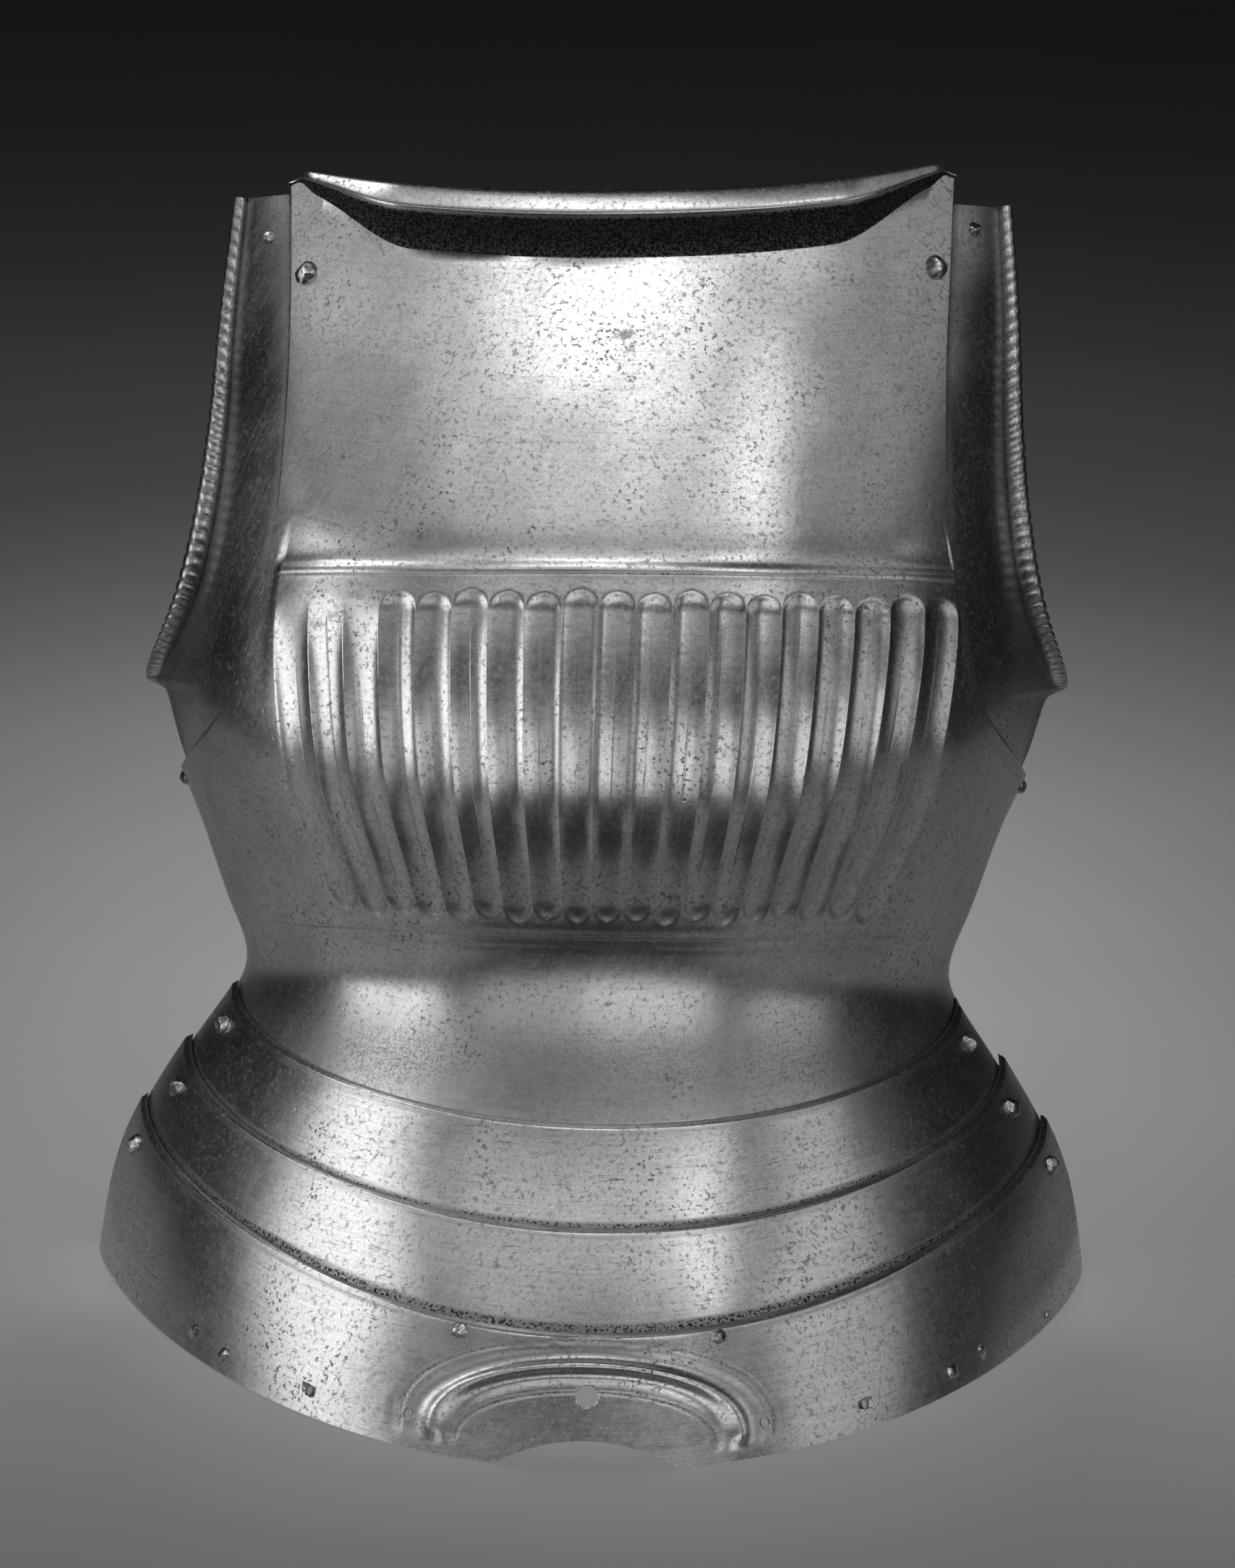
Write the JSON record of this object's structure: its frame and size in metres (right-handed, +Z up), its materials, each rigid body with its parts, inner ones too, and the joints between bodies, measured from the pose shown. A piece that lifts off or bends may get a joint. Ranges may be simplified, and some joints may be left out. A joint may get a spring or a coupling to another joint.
{
  "type": "breastplate",
  "caption": "Fluted steel breastplate with a turned neck, armhole gussets and a flared skirt of lapped lames, worn over the front of the torso.",
  "frame": {"origin": "middle of the bounding box, at the level the skirt's lower edge stands on", "axes": "+Z up, -Y the front, +X the right-hand side of someone looking at the front; the torso leans back, standing on the skirt's lower edge"},
  "size_m": [0.3982, 0.2664, 0.4352],
  "materials": {
    "plate_steel": "satin, finely scratched and lightly pitted",
    "gusset_steel": "satin, pitted along the armhole roll",
    "lame_steel": "satin with a fine level grain",
    "rivet_iron": "dull, worn and stained"
  },
  "bodies": {
    "main_plate": {"breast_plate": "plate_steel", "gusset_right": "gusset_steel", "gusset_left": "gusset_steel", "rivet_shoulder_left": "rivet_iron", "rivet_shoulder_right": "rivet_iron", "rivet_gusset_top_left": "rivet_iron", "rivet_gusset_top_right": "rivet_iron", "rivet_gusset_foot_left": "rivet_iron", "rivet_gusset_foot_right": "rivet_iron"},
    "first_lame": {"skirt_lame_1": "lame_steel", "rivet_lame_1_left": "rivet_iron", "rivet_lame_1_right": "rivet_iron"},
    "second_lame": {"skirt_lame_2": "lame_steel", "rivet_lame_2_left": "rivet_iron", "rivet_lame_2_right": "rivet_iron"},
    "last_lame": {"skirt_lame_3": "lame_steel", "rivet_lame_3_left": "rivet_iron", "rivet_lame_3_right": "rivet_iron", "rivet_strap_outer_left": "rivet_iron", "rivet_strap_outer_right": "rivet_iron", "rivet_strap_inner_left": "rivet_iron", "rivet_strap_inner_right": "rivet_iron", "rivet_leather_left": "rivet_iron", "rivet_leather_right": "rivet_iron"}
  },
  "joints": [
    {"name": "first_lame_pivot", "type": "hinge", "parent": "main_plate", "child": "first_lame", "pos_m": [0, 0.0599, 0.09699], "axis": [-1, 0, 0], "range_deg": [0, 2.5]},
    {"name": "second_lame_pivot", "type": "hinge", "parent": "first_lame", "child": "second_lame", "pos_m": [0, 0.05436, 0.07271], "axis": [-1, 0, 0], "range_deg": [0, 2.2]},
    {"name": "last_lame_pivot", "type": "hinge", "parent": "second_lame", "child": "last_lame", "pos_m": [0, 0.05449, 0.04793], "axis": [-1, 0, 0], "range_deg": [0, 2.5]}
  ]
}
